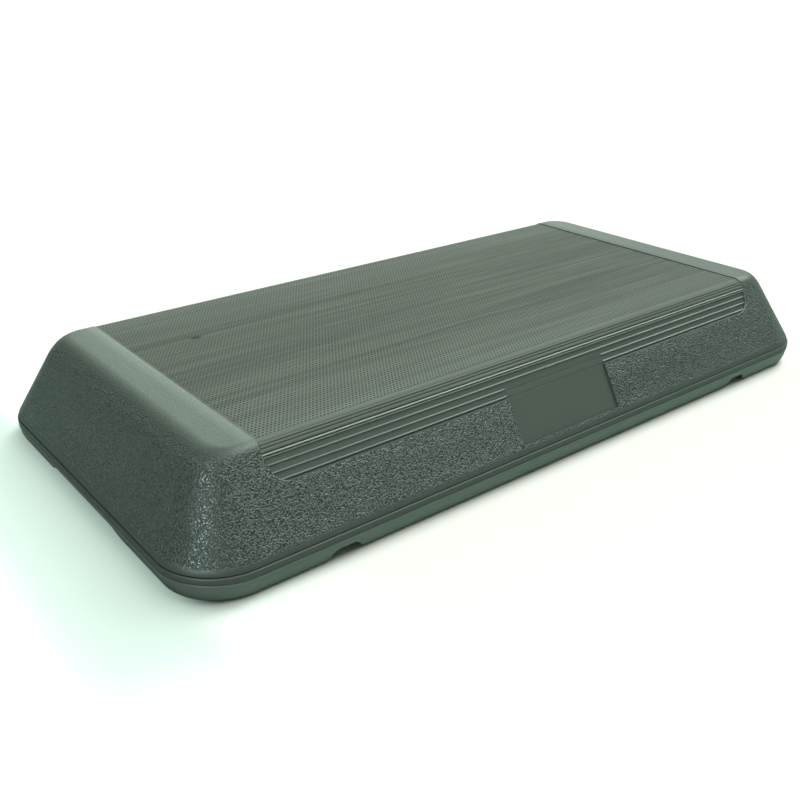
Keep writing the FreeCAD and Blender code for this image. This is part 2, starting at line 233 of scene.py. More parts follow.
def skirt_notch(foot, head, height, place, across):
    """Cutter for a finger cut-out with S-shaped shoulders; across points out through the skirt."""
    along = Vector((-across.y, across.x, 0))
    outer = -foot - 2 * shoulder_round
    base = ground_gap - shoulder_sink
    half = [(outer, base - cut_below), (outer, base), (-foot, base), (-head, ground_gap + height)]
    outline = half + [(-offset, level) for offset, level in reversed(half)]
    start = place - across * cut_inward
    points = [start + along * offset + Vector((0, 0, level)) for offset, level in outline]
    setbacks = [0, 0, shoulder_round, shoulder_round / 2]
    return bar("notch", satin_plastic, points, setbacks + setbacks[::-1], across * cut_through)


# Moulded against fine spark-eroded steel: an even satin, a little cloudy, with a soft broad sheen. The
# erosion marks are drawn 0.6 mm wide, coarser than real ones, so that they show.
plastic_ior = 1.49
cloud_size = 50 * mm
spark_size = 0.6 * mm
spark_depth = 0.02 * mm
satin_plastic, tree = new_material("polypropylene_moulded_satin")
spot = node(tree, "ShaderNodeTexCoord").outputs["Object"]
cloud = node(tree, "ShaderNodeTexNoise", {}, {
    "Vector": spot, "Scale": 1 / cloud_size, "Detail": 4}).outputs["Fac"]
tint = node(tree, "ShaderNodeMixRGB", {}, {
    "Fac": cloud, "Color1": linear("#556059"), "Color2": linear("#5e6a62")})
sheen = node(tree, "ShaderNodeMapRange", {}, {"Value": cloud, "To Min": 0.40, "To Max": 0.52})
sparks = node(tree, "ShaderNodeTexNoise", {}, {"Vector": spot, "Scale": 1 / spark_size, "Detail": 1})
relief = node(tree, "ShaderNodeBump", {}, {
    "Height": sparks.outputs["Fac"], "Strength": 0.5, "Distance": spark_depth})
shader = node(tree, "ShaderNodeBsdfPrincipled", {}, {
    "Base Color": tint.outputs["Color"], "IOR": plastic_ior, "Roughness": sheen.outputs["Result"],
    "Normal": relief.outputs["Normal"]})
node(tree, "ShaderNodeOutputMaterial", {}, {"Surface": shader.outputs["BSDF"]})

# Outlines from the parting line down the outside, under the sole and up the inside to the ledge.
frame_rings = [rim_ring(rim_round * 2, parting)]
for turn in rim_turns:
    frame_rings.append(rim_ring(rim_round * (1 - math.cos(turn)),
                                parting - parting_gap - rim_round * (1 - math.sin(turn))))
frame_rings += [rim_ring(inset, rim_foot + rise) for inset, rise in rim_edge]
for k in range(skirt_steps + 1):
    fall = k / skirt_steps
    frame_rings.append(rim_ring(rim_step + (skirt_tuck - rim_step) * fall ** 2,
                                rim_foot - rim_step_drop - (rim_foot - skirt_foot) * fall))
frame_rings += [rim_ring(skirt_tuck + inset, ground_gap + rise) for inset, rise in skirt_curl]
frame_rings += [rim_ring(sole_inset + inset, ground_gap + rise) for inset, rise in sole_curl]
frame_rings += [rim_ring(pocket_inset, panel_under), rim_ring(pocket_inset, ledge_level),
                rim_ring(ledge_inset, ledge_level + ledge_draft), rim_ring(ledge_inset, parting - lip_gap)]
base_frame = wrap_rings("base_frame_skirt", satin_plastic, frame_rings, around=True)
for end in (-1, 1):
    for side in (-1, 1):
        place = Vector((end * notch_x, side * rim_y, 0))
        combine(base_frame, skirt_notch(notch_foot, notch_head, notch_height, place, Vector((0, side, 0))))
    place = Vector((end * rim_x, 0, 0))
    combine(base_frame, skirt_notch(grip_foot, grip_head, grip_height, place, Vector((end, 0, 0))))
edit(base_frame)
close_piece(base_frame)
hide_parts("base_frame")
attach(base_frame, "root")

# Deck shell: the upper moulding, with grained leaning walls, smooth end caps, a stepped nosing along both
# long edges and a bare sunk label panel on each long side. Polypropylene, screwed to the panel below.
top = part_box("deck_shell")[1].z
quarter_turns = [math.radians(15 * k) for k in range(7)]
half_turns = [math.radians(20 * k) for k in range(10)]
flange_top = 24.6 * mm
flange_inset = 5 * mm
flange_under = parting + 0.05 * mm
flange_foot = parting + 0.08 * mm
flange_foot_round = 1.1 * mm
flange_round = 1.5 * mm
flange_round_drop = 0.3 * mm
flange_groove = [(2.175 * mm, -0.55 * mm), (2.9 * mm, -0.3 * mm), (2.61 * mm, 0.1 * mm)]
side_lean = math.radians(30.56)
end_lean = math.radians(28)
side_crest = 12 * mm
end_crest = 30 * mm
crown_radius = 29 * mm
foot_start = flange_top + 0.4 * mm
foot_round = 8 * mm
foot_height = 5 * mm
foot_steps = 5
wall_shares = (0.3, 0.6)
crest_steps = 16
fold_steps = 8
crown_half = rim_y - (top - flange_top) * math.tan(side_lean)
recess_drop = 36.1 * mm
recess_half = 312.5 * mm
recess_draw = 5 * mm
recess_corner = 12 * mm
band_drops = [33.1 * mm, 26.4 * mm, 19.7 * mm, 13.5 * mm]
band_step = 1.2 * mm
band_lip = 1.1 * mm
crest_depth = 0.4 * mm
face_depth = 1.7 * mm
valley_depth = 2.1 * mm
crest_round = 0.4 * mm
valley_round = 0.25 * mm
bead_drop = 11.25 * mm
bead_half = 0.95 * mm
bead_height = 1.5 * mm
mat_edge_drop = 10.25 * mm
mat_bed_depth = 3.3 * mm
label_half = 65 * mm
label_depth = 1.8 * mm
label_head_drop = band_drops[2] + band_step
label_foot_drop = 80.4 * mm
label_flare = 1.5 * mm
edge_round = 0.35 * mm
edge_round_steps = 2
clear = 5 * mm


def wall_inset(level, lean, crest):
    """How far in from the rim a leaning wall stands at a level, with its round foot and crest."""
    inset = (level - flange_top) * math.tan(lean)
    foot_end = foot_start + foot_round * math.sin(lean)
    crest_start = top - crest * (1 - math.sin(lean))
    if level < foot_end:
        middle = (foot_end - flange_top) * math.tan(lean) + foot_round * math.cos(lean)
        inset = middle - math.sqrt(foot_round ** 2 - (level - foot_start) ** 2)
    if level > crest_start:
        middle = (top - flange_top) * math.tan(lean) + crest * math.tan((math.pi / 2 - lean) / 2)
        inset = middle - math.sqrt(max(0, crest ** 2 - (level - top + crest) ** 2))
    return inset


def wall_ring(level):
    """Outline of the deck walls at a level."""
    side_inset = wall_inset(level, side_lean, side_crest)
    end_inset = wall_inset(level, end_lean, end_crest)
    rise = level - flange_top
    turned_in = (side_inset + end_inset - rise * (math.tan(side_lean) + math.tan(end_lean))) / 2
    taper = (corner_radius - crown_radius) / (top - flange_top)
    return rim_x - end_inset, rim_y - side_inset, corner_radius - taper * rise - turned_in, level


def on_slope(drop, depth, x=0):
    """Point of the front slope: drop down from the crest edge, depth into the wall."""
    return Vector((x, -crown_half - drop * math.sin(side_lean) + depth * math.cos(side_lean),
                   top - drop * math.cos(side_lean) - depth * math.sin(side_lean)))


def on_crest(depth, share, x=0):
    """Point on the rounded front crest at a depth, from the slope (0) to the level top (1)."""
    turn = side_lean + (math.pi / 2 - side_lean) * share
    middle = -crown_half + side_crest * math.tan((math.pi / 2 - side_lean) / 2)
    radius = side_crest - depth
    return Vector((x, middle - radius * math.cos(turn), top - side_crest + radius * math.sin(turn)))


def mirrored(points):
    """The same points on the rear side, in the order that carries an outline on."""
    return [Vector((point.x, -point.y, point.z)) for point in reversed(points)]


def soften(piece, width, wanted):
    """Round the edges of a piece that pass a test."""
    edit(piece)
    pick(piece, wanted)
    bpy.ops.mesh.bevel(offset=width, segments=edge_round_steps, affect="EDGES")
    close_piece(piece)


# Grain etched in the mould: worm-like ridges whose tops glint, while the valleys stay dull. The ridge tops
# are painted paler as a highlight and the valleys painted dark as shade. It fades out just above the flange,
# and over the crest, so the end caps are nearly plain.
worm_size = 1.25 * mm
worm_depth = 0.72 * mm
grain_start = flange_top + 3 * mm
grain_full = flange_top + 8 * mm
grain_fade = top - 9 * mm
grain_end = top - 1.5 * mm
cap_grain_share = 0.14
eased = {"interpolation_type": "SMOOTHSTEP"}
product = {"operation": "MULTIPLY"}
grain_plastic, tree = new_material("polypropylene_moulded_leather_grain")
spot = node(tree, "ShaderNodeTexCoord").outputs["Object"]
height = node(tree, "ShaderNodeSeparateXYZ", {}, {"Vector": spot}).outputs["Z"]
fade_in = node(tree, "ShaderNodeMapRange", eased, {
    "Value": height, "From Min": grain_start, "From Max": grain_full})
fade_out = node(tree, "ShaderNodeMapRange", eased, {
    "Value": height, "From Min": grain_fade, "From Max": grain_end, "To Min": 1, "To Max": cap_grain_share})
grained = node(tree, "ShaderNodeMath", product, {
    0: fade_in.outputs["Result"], 1: fade_out.outputs["Result"]}).outputs["Value"]
worms = node(tree, "ShaderNodeTexNoise", {}, {
    "Vector": spot, "Scale": 1 / worm_size, "Detail": 0, "Distortion": 0.3}).outputs["Fac"]
ridge = node(tree, "ShaderNodeMapRange", eased, {"Value": worms, "From Min": 0.30, "From Max": 0.70})
ridge_top = node(tree, "ShaderNodeMapRange", eased, {"Value": worms, "From Min": 0.48, "From Max": 0.66})
ridge_highlight = node(tree, "ShaderNodeMath", product, {0: ridge_top.outputs["Result"], 1: grained}).outputs["Value"]
# Dark valleys, deepest on the grained walls, are painted shade.
valley_shade = node(tree, "ShaderNodeMapRange", eased, {
    "Value": worms, "From Min": 0.37, "From Max": 0.53, "To Min": grained, "To Max": 0})
cloud = node(tree, "ShaderNodeTexNoise", {}, {"Vector": spot, "Scale": 1 / cloud_size, "Detail": 4})
tint = node(tree, "ShaderNodeMixRGB", {}, {
    "Fac": cloud.outputs["Fac"], "Color1": linear("#3b443e"), "Color2": linear("#434c46")})
valley_shade_tint = node(tree, "ShaderNodeMixRGB", {}, {
    "Fac": valley_shade.outputs["Result"], "Color1": tint.outputs["Color"], "Color2": linear("#252d28")})
# Paler ridge tops are a painted highlight.
painted_light_tint = node(tree, "ShaderNodeMixRGB", {}, {
    "Fac": ridge_highlight, "Color1": valley_shade_tint.outputs["Color"], "Color2": linear("#58635c")})
plain = node(tree, "ShaderNodeMapRange", {}, {"Value": grained, "To Min": 0.54, "To Max": 0.42})
dull = node(tree, "ShaderNodeMapRange", {}, {
    "Value": ridge_highlight, "To Min": plain.outputs["Result"], "To Max": 0.27})
relief = node(tree, "ShaderNodeBump", {}, {
    "Height": ridge.outputs["Result"], "Strength": grained, "Distance": worm_depth})
shader = node(tree, "ShaderNodeBsdfPrincipled", {}, {
    "Base Color": painted_light_tint.outputs["Color"], "IOR": plastic_ior, "Roughness": dull.outputs["Result"],
    "Normal": relief.outputs["Normal"]})
node(tree, "ShaderNodeOutputMaterial", {}, {"Surface": shader.outputs["BSDF"]})

# Nosing and label come from milled mould inserts: fine straight lines along the length give a silky look,
# drawn wider than the cutter leaves them, so that they show. The bead below the mat and the lips of the
# steps, which stand nearest to the plane of the slope, are shinier and painted paler: a painted highlight.
line_length = 90 * mm
line_width = 0.9 * mm
line_depth = 0.03 * mm
lip_highlight_start = 0.9 * mm
lip_highlight_full = 0.2 * mm
lip_highlight_foot = on_slope(band_drops[0] + 0.7 * mm, 1 * mm).z
slope_plane = crown_half * math.cos(side_lean) + top * math.sin(side_lean)
slope_normal = (0, math.cos(side_lean), math.sin(side_lean))
nosing_plastic, tree = new_material("polypropylene_moulded_milled_lines")
spot = node(tree, "ShaderNodeTexCoord").outputs["Object"]
drawn = node(tree, "ShaderNodeMapping", {}, {
    "Vector": spot, "Scale": (1 / line_length, 1 / line_width, 1 / line_width)})
lines = node(tree, "ShaderNodeTexNoise", {}, {
    "Vector": drawn.outputs["Vector"], "Scale": 1, "Detail": 3}).outputs["Fac"]
tint = node(tree, "ShaderNodeMixRGB", {}, {
    "Fac": lines, "Color1": linear("#434c46"), "Color2": linear("#4d5650")})
either_side = node(tree, "ShaderNodeVectorMath", {"operation": "ABSOLUTE"}, {0: spot})
outward = node(tree, "ShaderNodeVectorMath", {"operation": "DOT_PRODUCT"}, {
    0: either_side.outputs["Vector"], 1: slope_normal})
proud = node(tree, "ShaderNodeMapRange", {}, {
    "Value": outward.outputs["Value"], "From Min": slope_plane - lip_highlight_start,
    "From Max": slope_plane - lip_highlight_full})
height = node(tree, "ShaderNodeSeparateXYZ", {}, {"Vector": spot}).outputs["Z"]
above = node(tree, "ShaderNodeMath", {"operation": "GREATER_THAN"}, {0: height, 1: lip_highlight_foot})
# The paler bead and lips are a painted highlight.
lip_highlight = node(tree, "ShaderNodeMath", product, {
    0: proud.outputs["Result"], 1: above.outputs["Value"]}).outputs["Value"]
painted_light_tint = node(tree, "ShaderNodeMixRGB", {}, {
    "Fac": lip_highlight, "Color1": tint.outputs["Color"], "Color2": linear("#959b95")})
sheen = node(tree, "ShaderNodeMapRange", {}, {"Value": lip_highlight, "To Min": 0.44, "To Max": 0.30})
relief = node(tree, "ShaderNodeBump", {}, {"Height": lines, "Strength": 0.6, "Distance": line_depth})
shader = node(tree, "ShaderNodeBsdfPrincipled", {}, {
    "Base Color": painted_light_tint.outputs["Color"], "IOR": plastic_ior, "Roughness": sheen.outputs["Result"],
    "Normal": relief.outputs["Normal"]})
node(tree, "ShaderNodeOutputMaterial", {}, {"Surface": shader.outputs["BSDF"]})

# Outlines from under the flange, round its edge, over the groove and up the walls to the crown.
deck_rings = [rim_ring(flange_inset, flange_under)]
for turn in quarter_turns:
    deck_rings.append(rim_ring(flange_foot_round * (1 - math.sin(turn)),
                               flange_foot + flange_foot_round * (1 - math.cos(turn))))
for turn in quarter_turns[:-1]:
    deck_rings.append(rim_ring(flange_round * (1 - math.cos(turn)),
                               flange_top - flange_round_drop - flange_round * (1 - math.sin(turn))))
deck_rings += [rim_ring(inset, flange_top + rise) for inset, rise in flange_groove]
deck_rings += [wall_ring(foot_start + foot_height * k / foot_steps) for k in range(foot_steps + 1)]
deck_rings += [wall_ring(flange_top + (top - flange_top) * share) for share in wall_shares]
for k in range(crest_steps + 1):
    turn = end_lean + (math.pi / 2 - end_lean) * k / crest_steps
    deck_rings.append(wall_ring(top - end_crest * (1 - math.sin(turn))))
deck = wrap_rings("deck_moulding", grain_plastic, deck_rings, around=False)

# The recess is cut with the profile of the bands, bead and mat bed, only as long as its window.
front = [on_slope(recess_drop, -clear), on_slope(recess_drop, valley_depth)]
setbacks = [0, valley_round]
for drop in band_drops:
    lip_foot = max(drop - band_lip, bead_drop + bead_half)
    front += [on_slope(drop + band_step, valley_depth), on_slope(drop, crest_depth),
              on_slope(lip_foot, face_depth)]
    setbacks += [valley_round, crest_round, 0]
for turn in half_turns[1:]:
    front.append(on_slope(bead_drop + bead_half * math.cos(turn), face_depth - bead_height * math.sin(turn)))
front += [on_slope(mat_edge_drop, valley_depth), on_slope(mat_edge_drop, mat_bed_depth)]
front += [on_crest(mat_bed_depth, k / fold_steps) for k in range(fold_steps + 1)]
setbacks += [0] * (len(front) - len(setbacks))
over = [Vector((0, -crown_half - clear, top + clear))]
outline = [point - Vector((rim_x, 0, 0)) for point in over + front + mirrored(front) + mirrored(over)]
recess = bar("recess", nosing_plastic, outline, [0] + setbacks + setbacks[::-1] + [0],
             Vector((2 * rim_x, 0, 0)))
recess_foot = on_slope(recess_drop, 0).z
shoulder = on_slope(mat_edge_drop, mat_bed_depth).z
window = [(-recess_half, top + 2 * clear), (-recess_half, shoulder),
          (recess_draw - recess_half, recess_foot)]
window += [(-x, z) for x, z in reversed(window)]
opening = bar("opening", nosing_plastic, [Vector((x, -rim_y, z)) for x, z in window],
              [0, 0, recess_corner, recess_corner, 0, 0], Vector((0, 2 * rim_y, 0)))
combine(recess, opening, "INTERSECT")
combine(deck, recess)

# The label panel is cut out of each slope, and the bands end beside it in flared faces.
label_cut = [on_slope(label_head_drop, label_depth), on_slope(label_foot_drop, label_depth),
             on_slope(label_foot_drop, -clear), on_slope(label_head_drop, -clear)]
label_cut = [point - Vector((label_half, 0, 0)) for point in label_cut]
flared = label_half + label_flare * (1 + clear / label_depth)
band_ends = [on_slope(recess_drop, label_depth, -label_half), on_slope(recess_drop, label_depth, label_half),
             on_slope(recess_drop, -clear, flared), on_slope(recess_drop, -clear, -flared)]
up_slope = on_slope(label_head_drop, 0) - on_slope(recess_drop, 0)
for order, side in ((list, 1), (mirrored, -1)):
    combine(deck, bar("label", nosing_plastic, order(label_cut), [0] * 4, Vector((2 * label_half, 0, 0))))
    combine(deck, bar("band_ends", nosing_plastic, order(band_ends), [0] * 4,
                      Vector((0, side * up_slope.y, up_slope.z))))
soften(deck, edge_round, lambda edge: len({face.material_index for face in edge.link_faces}) > 1)
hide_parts("deck_shell")
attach(deck, "root")

# Tread mat: a thin moulded rubber sheet bonded into the recess and folded over both long edges, with rows
# of small diamond dents on the flat and three fine ribs along each fold.
mat_gap = 0.3 * mm
mat_half = recess_half - mat_gap
mat_sink = 1 * mm
mat_under = 3 * mm
mat_edge = mat_edge_drop - mat_gap
mat_edge_round = 0.4 * mm
land = top - mat_sink
rib_height = 0.7 * mm
rib_groove = 0.3 * mm
rib_groove_end = 0.5 * mm
rib_land_start = 0.8 * mm
rib_spans = [(-3.0 * mm, 0.2 * mm), (0.6 * mm, 2.8 * mm), (3.2 * mm, 5.4 * mm)]
plain_fold_share = 0.70
plain_fold_steps = 5
dent_pitch = 3.58 * mm
row_pitch = 3.58 * mm
dent_half = 1.5 * mm
dent_depth = 0.5 * mm
rows_in_step = 3
dent_columns = 173
dent_steps = 28
flat_half = rows_in_step * dent_steps * row_pitch / 2
bed_depth = 0.6 * mm
bed_draft = 0.4 * mm
border_width = 3.2 * mm
border_proud = 0.05 * mm

# Matt rubber, greyer than the plastic: flow lines and dust from shoes leave long streaks along the length,
# the flat grows lighter towards both long edges and over the folds, partly scuffs and partly painted light,
# the dents are darkened by dirt and painted shade, and there is one small dark nick.
rubber_ior = 1.52
streak_length = 420 * mm
streak_width = 9 * mm
dust_length = 160 * mm
dust_width = 2 * mm
scuff_and_light_width = 80 * mm
dent_dark_start = 0.02 * mm
dent_dark_full = 0.22 * mm
nick_place = (-248 * mm, 65 * mm, land)
nick_half_x = 7 * mm
nick_half_y = 4.5 * mm
mat_rubber, tree = new_material("rubber_moulded_matte_streaked")
spot = node(tree, "ShaderNodeTexCoord").outputs["Object"]
axes = node(tree, "ShaderNodeSeparateXYZ", {}, {"Vector": spot})
aside = node(tree, "ShaderNodeMath", {"operation": "ABSOLUTE"}, {0: axes.outputs["Y"]}).outputs["Value"]
broad = node(tree, "ShaderNodeMapping", {}, {
    "Vector": spot, "Scale": (1 / streak_length, 1 / streak_width, 1)})
flow = node(tree, "ShaderNodeTexNoise", {}, {"Vector": broad.outputs["Vector"], "Scale": 1, "Detail": 4})
streak = node(tree, "ShaderNodeMapRange", eased, {
    "Value": flow.outputs["Fac"], "From Min": 0.3, "From Max": 0.7})
tint = node(tree, "ShaderNodeMixRGB", {}, {
    "Fac": streak.outputs["Result"], "Color1": linear("#3e423a"), "Color2": linear("#51554c")})
fine = node(tree, "ShaderNodeMapping", {}, {"Vector": spot, "Scale": (1 / dust_length, 1 / dust_width, 1)})
specks = node(tree, "ShaderNodeTexNoise", {}, {"Vector": fine.outputs["Vector"], "Scale": 1, "Detail": 3})
dust = node(tree, "ShaderNodeMapRange", eased, {
    "Value": specks.outputs["Fac"], "From Min": 0.50, "From Max": 0.72, "To Max": 0.6})
dusty = node(tree, "ShaderNodeMixRGB", {}, {
    "Fac": dust.outputs["Result"], "Color1": tint.outputs["Color"], "Color2": linear("#6a6f67")})
# Lighter towards both long edges and over the folds: partly scuffs, partly painted light.
scuff_and_light = node(tree, "ShaderNodeMapRange", {}, {
    "Value": aside, "From Min": flat_half - scuff_and_light_width, "From Max": flat_half, "To Max": 0.42})
scuffed_and_lit = node(tree, "ShaderNodeMixRGB", {}, {
    "Fac": scuff_and_light.outputs["Result"], "Color1": dusty.outputs["Color"], "Color2": linear("#676d66")})
# Near-black dents: dirt and painted shade.
sunken = node(tree, "ShaderNodeMapRange", {}, {
    "Value": axes.outputs["Z"], "From Min": land - dent_dark_full, "From Max": land - dent_dark_start,
    "To Min": 1, "To Max": 0})
on_flat = node(tree, "ShaderNodeMath", {"operation": "LESS_THAN"}, {0: aside, 1: flat_half})
dirt_and_shade = node(tree, "ShaderNodeMath", product, {0: sunken.outputs["Result"], 1: on_flat.outputs["Value"]})
dirt_and_shade_tint = node(tree, "ShaderNodeMixRGB", {}, {
    "Fac": dirt_and_shade.outputs["Value"], "Color1": scuffed_and_lit.outputs["Color"], "Color2": linear("#0d0f0c")})
off_nick = node(tree, "ShaderNodeVectorMath", {"operation": "SUBTRACT"}, {0: spot, 1: nick_place})
nick_shape = node(tree, "ShaderNodeVectorMath", product, {
    0: off_nick.outputs["Vector"], 1: (1 / nick_half_x, 1 / nick_half_y, 0)})
nick_reach = node(tree, "ShaderNodeVectorMath", {"operation": "LENGTH"}, {0: nick_shape.outputs["Vector"]})
nick = node(tree, "ShaderNodeMapRange", {}, {
    "Value": nick_reach.outputs["Value"], "From Min": 0.5, "From Max": 1, "To Min": 1, "To Max": 0})
nicked = node(tree, "ShaderNodeMixRGB", {}, {
    "Fac": nick.outputs["Result"], "Color1": dirt_and_shade_tint.outputs["Color"], "Color2": linear("#0d0f0c")})
shader = node(tree, "ShaderNodeBsdfPrincipled", {}, {
    "Base Color": nicked.outputs["Color"], "IOR": rubber_ior, "Roughness": 0.84})
node(tree, "ShaderNodeOutputMaterial", {}, {"Surface": shader.outputs["BSDF"]})

# The sheet's cross-section: each point of the fold is a length along it and a height out of it.
fold_length = (side_crest - mat_sink) * (math.pi / 2 - side_lean)
fold = []
for lower, upper in rib_spans:
    for turn in half_turns:
        fold.append(((lower + upper) / 2 - (upper - lower) / 2 * math.cos(turn),
                     (rib_height + rib_groove) * math.sin(turn) - rib_groove))
last_rib = rib_spans[-1][1]
fold += [(last_rib + rib_groove_end, -rib_groove), (last_rib + rib_land_start, 0)]
for k in range(plain_fold_steps + 1):
    fold.append((fold_length * (plain_fold_share + (1 - plain_fold_share) * k / plain_fold_steps), 0))
fold_start = side_crest * math.tan((math.pi / 2 - side_lean) / 2)
skin = [on_slope(mat_edge, mat_under), on_slope(mat_edge, mat_sink)]
for along, out in fold:
    skin.append(on_crest(mat_sink - out, along / fold_length) if along > 0
                else on_slope(fold_start - along, mat_sink - out))
skin.append(on_crest(mat_sink, 1) + Vector((0, bed_draft, -bed_depth)))
lining = [on_crest(mat_under, k / fold_steps) for k in range(fold_steps + 1)]
outline = skin + mirrored(skin) + mirrored(lining[::-1]) + lining[::-1]
setbacks = [0, mat_edge_round] + [0] * (len(skin) - 2)
setbacks += setbacks[::-1] + [0] * 2 * len(lining)
mat = bar("tread_mat_sheet", mat_rubber, [point - Vector((mat_half, 0, 0)) for point in outline], setbacks,
          Vector((2 * mat_half, 0, 0)))

# One dent, a step of rows that each shift by a third of the pitch, and arrays of it over the flat.
row_shift = -dent_pitch / rows_in_step
bpy.ops.object.select_all(action="DESELECT")
bpy.ops.mesh.primitive_plane_add(size=1, calc_uvs=False)
dents = bpy.context.object
dents.data.materials.append(mat_rubber)
edit(dents)
bpy.ops.mesh.select_all(action="SELECT")
bpy.ops.transform.resize(value=(dent_pitch, row_pitch, 1))
bpy.ops.mesh.inset(thickness=dent_pitch / 2 - dent_half / math.sqrt(2))
bpy.ops.transform.rotate(value=math.pi / 4, orient_axis="Z", center_override=(0, 0, 0))
bpy.ops.mesh.poke(offset=-dent_depth)
bpy.ops.mesh.select_all(action="SELECT")
for row in range(1, rows_in_step):
    bpy.ops.mesh.duplicate_move(TRANSFORM_OT_translate={"value": (row_shift, row_pitch, 0)})
bpy.ops.object.mode_set(mode="OBJECT")
for count, step in ((dent_columns, (dent_pitch, 0, 0)), (dent_steps, (0, rows_in_step * row_pitch, 0))):
    array = dents.modifiers.new("array", "ARRAY")
    array.count = count
    array.use_relative_offset = False
    array.use_constant_offset = True
    array.constant_offset_displace = step
    bpy.ops.object.modifier_apply(modifier="array")
dents.location = (-((dent_columns - 1) * dent_pitch + (rows_in_step - 1) * row_shift) / 2,
                  row_pitch / 2 - flat_half, land)
bpy.ops.object.transform_apply(location=True)
bpy.ops.object.shade_flat()
for end in (-1, 1):
    inner = end * (mat_half - border_width)
    low = land - bed_depth
    high = land + border_proud
    face = [Vector((inner, -flat_half, low)), Vector((inner, flat_half, low)),
            Vector((inner, flat_half, high)), Vector((inner, -flat_half, high))]
    border = bar("border", mat_rubber, face, [0] * 4, Vector((end * border_width, 0, 0)))
    border.select_set(True)
    dents.select_set(True)
    bpy.context.view_layer.objects.active = dents
    bpy.ops.object.join()
dents.select_set(True)
mat.select_set(True)
bpy.context.view_layer.objects.active = mat
bpy.ops.object.join()
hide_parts("tread_mat")
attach(mat, "root")

# Bottom panel: a flat moulded sheet of the same satin plastic that closes the underside and traps the base
# frame's ledge. Four long swages pressed up into it keep it stiff.
panel_top = 15.4 * mm
panel_inset = 7.5 * mm
panel_round = 0.4 * mm
swage_half_x = 217 * mm
swage_half_y = 5 * mm
swage_depth = 2 * mm
swage_draft = 0.8 * mm
swage_foot_corner = 3.8 * mm
swage_top_corner = 3.2 * mm
swage_rows = [-66 * mm, -22 * mm, 22 * mm, 66 * mm]

panel = wrap_rings("bottom_panel_sheet", satin_plastic, [
    rim_ring(panel_inset + panel_round, panel_under), rim_ring(panel_inset, panel_under + panel_round),
    rim_ring(panel_inset, panel_top)], around=False)
for row in swage_rows:
    flare = swage_draft / 2
    swage = wrap_rings("swage", satin_plastic, [
        (swage_half_x + flare, swage_half_y + flare, swage_foot_corner, panel_under - swage_depth / 2),
        (swage_half_x - swage_draft, swage_half_y - swage_draft, swage_top_corner,
         panel_under + swage_depth)], around=False)
    swage.location.y = row
    combine(panel, swage)
edit(panel)
close_piece(panel)
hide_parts("bottom_panel")
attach(panel, "root")

# Feet: six moulded rubber blocks, each plugged into the bottom panel, that lift the skirt clear of the
# floor. Two grooves across the sole give grip.
foot_x = 335 * mm
foot_y = 145 * mm
middle_foot_y = 166 * mm
foot_half_x = 23 * mm
foot_half_y = 13 * mm
foot_corner = 5 * mm
foot_edge_round = 1.5 * mm
foot_gap = 0.05 * mm
groove_x = 7 * mm
groove_half = 1.1 * mm
groove_depth = 1.4 * mm
groove_round = 0.6 * mm
groove_reach = 20 * mm
groove_below = 1 * mm
foot_places = {"foot_front_left": (-foot_x, -foot_y), "foot_front_middle": (0, -middle_foot_y),
               "foot_front_right": (foot_x, -foot_y), "foot_rear_left": (-foot_x, foot_y),
               "foot_rear_middle": (0, middle_foot_y), "foot_rear_right": (foot_x, foot_y)}

# Black rubber, dull and a little dusty, with hardly any highlight.
bloom_size = 9 * mm
foot_rubber, tree = new_material("rubber_moulded_black_matte")
spot = node(tree, "ShaderNodeTexCoord").outputs["Object"]
bloom = node(tree, "ShaderNodeTexNoise", {}, {"Vector": spot, "Scale": 1 / bloom_size, "Detail": 5})
tint = node(tree, "ShaderNodeMixRGB", {}, {
    "Fac": bloom.outputs["Fac"], "Color1": linear("#1c1e1d"), "Color2": linear("#2f3230")})
shader = node(tree, "ShaderNodeBsdfPrincipled", {}, {
    "Base Color": tint.outputs["Color"], "IOR": rubber_ior, "Roughness": 0.78})
node(tree, "ShaderNodeOutputMaterial", {}, {"Surface": shader.outputs["BSDF"]})

for name, (x, y) in foot_places.items():
    rings = []
    for turn in quarter_turns[::2]:
        inset = foot_edge_round * (1 - math.sin(turn))
        rings.append((foot_half_x - inset, foot_half_y - inset, foot_corner - inset,
                      foot_edge_round * (1 - math.cos(turn))))
    rings.append((foot_half_x, foot_half_y, foot_corner, panel_under - foot_gap))
    pad = wrap_rings(name + "_block", foot_rubber, rings, around=False)
    for middle in (-groove_x, groove_x):
        section = [(middle - groove_half, -groove_below), (middle - groove_half, groove_depth),
                   (middle + groove_half, groove_depth), (middle + groove_half, -groove_below)]
        groove = [Vector((across, -groove_reach, level)) for across, level in section]
        combine(pad, bar("groove", foot_rubber, groove, [0, groove_round, groove_round, 0],
                         Vector((0, 2 * groove_reach, 0))))
    edit(pad)
    close_piece(pad)
    pad.location = (x, y, 0)
    bpy.ops.object.transform_apply(location=True)
    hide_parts(name)
    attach(pad, "root")

# Case screws: fourteen steel screws with zinc-plated pan heads and a cross recess, driven up through the
# bottom panel into the deck's bosses.
head_radius = 4.5 * mm
head_height = 2.8 * mm
head_round = 1.5 * mm
head_round_steps = 5
head_sides = 28
head_under = panel_under - head_height
shank_radius = 2 * mm
shank_tip = 0.4 * mm
shank_length = 19 * mm
shank_sides = 12
cross_half = 2.6 * mm
cross_width = 0.5 * mm
cross_depth = 1.6 * mm
cross_below = 1 * mm
screw_places = [(x * mm, y * mm) for x in (-280, -140, 0, 140, 280) for y in (-132, 132)]
screw_places += [(x * mm, y * mm) for x in (-350, 350) for y in (-66, 66)]

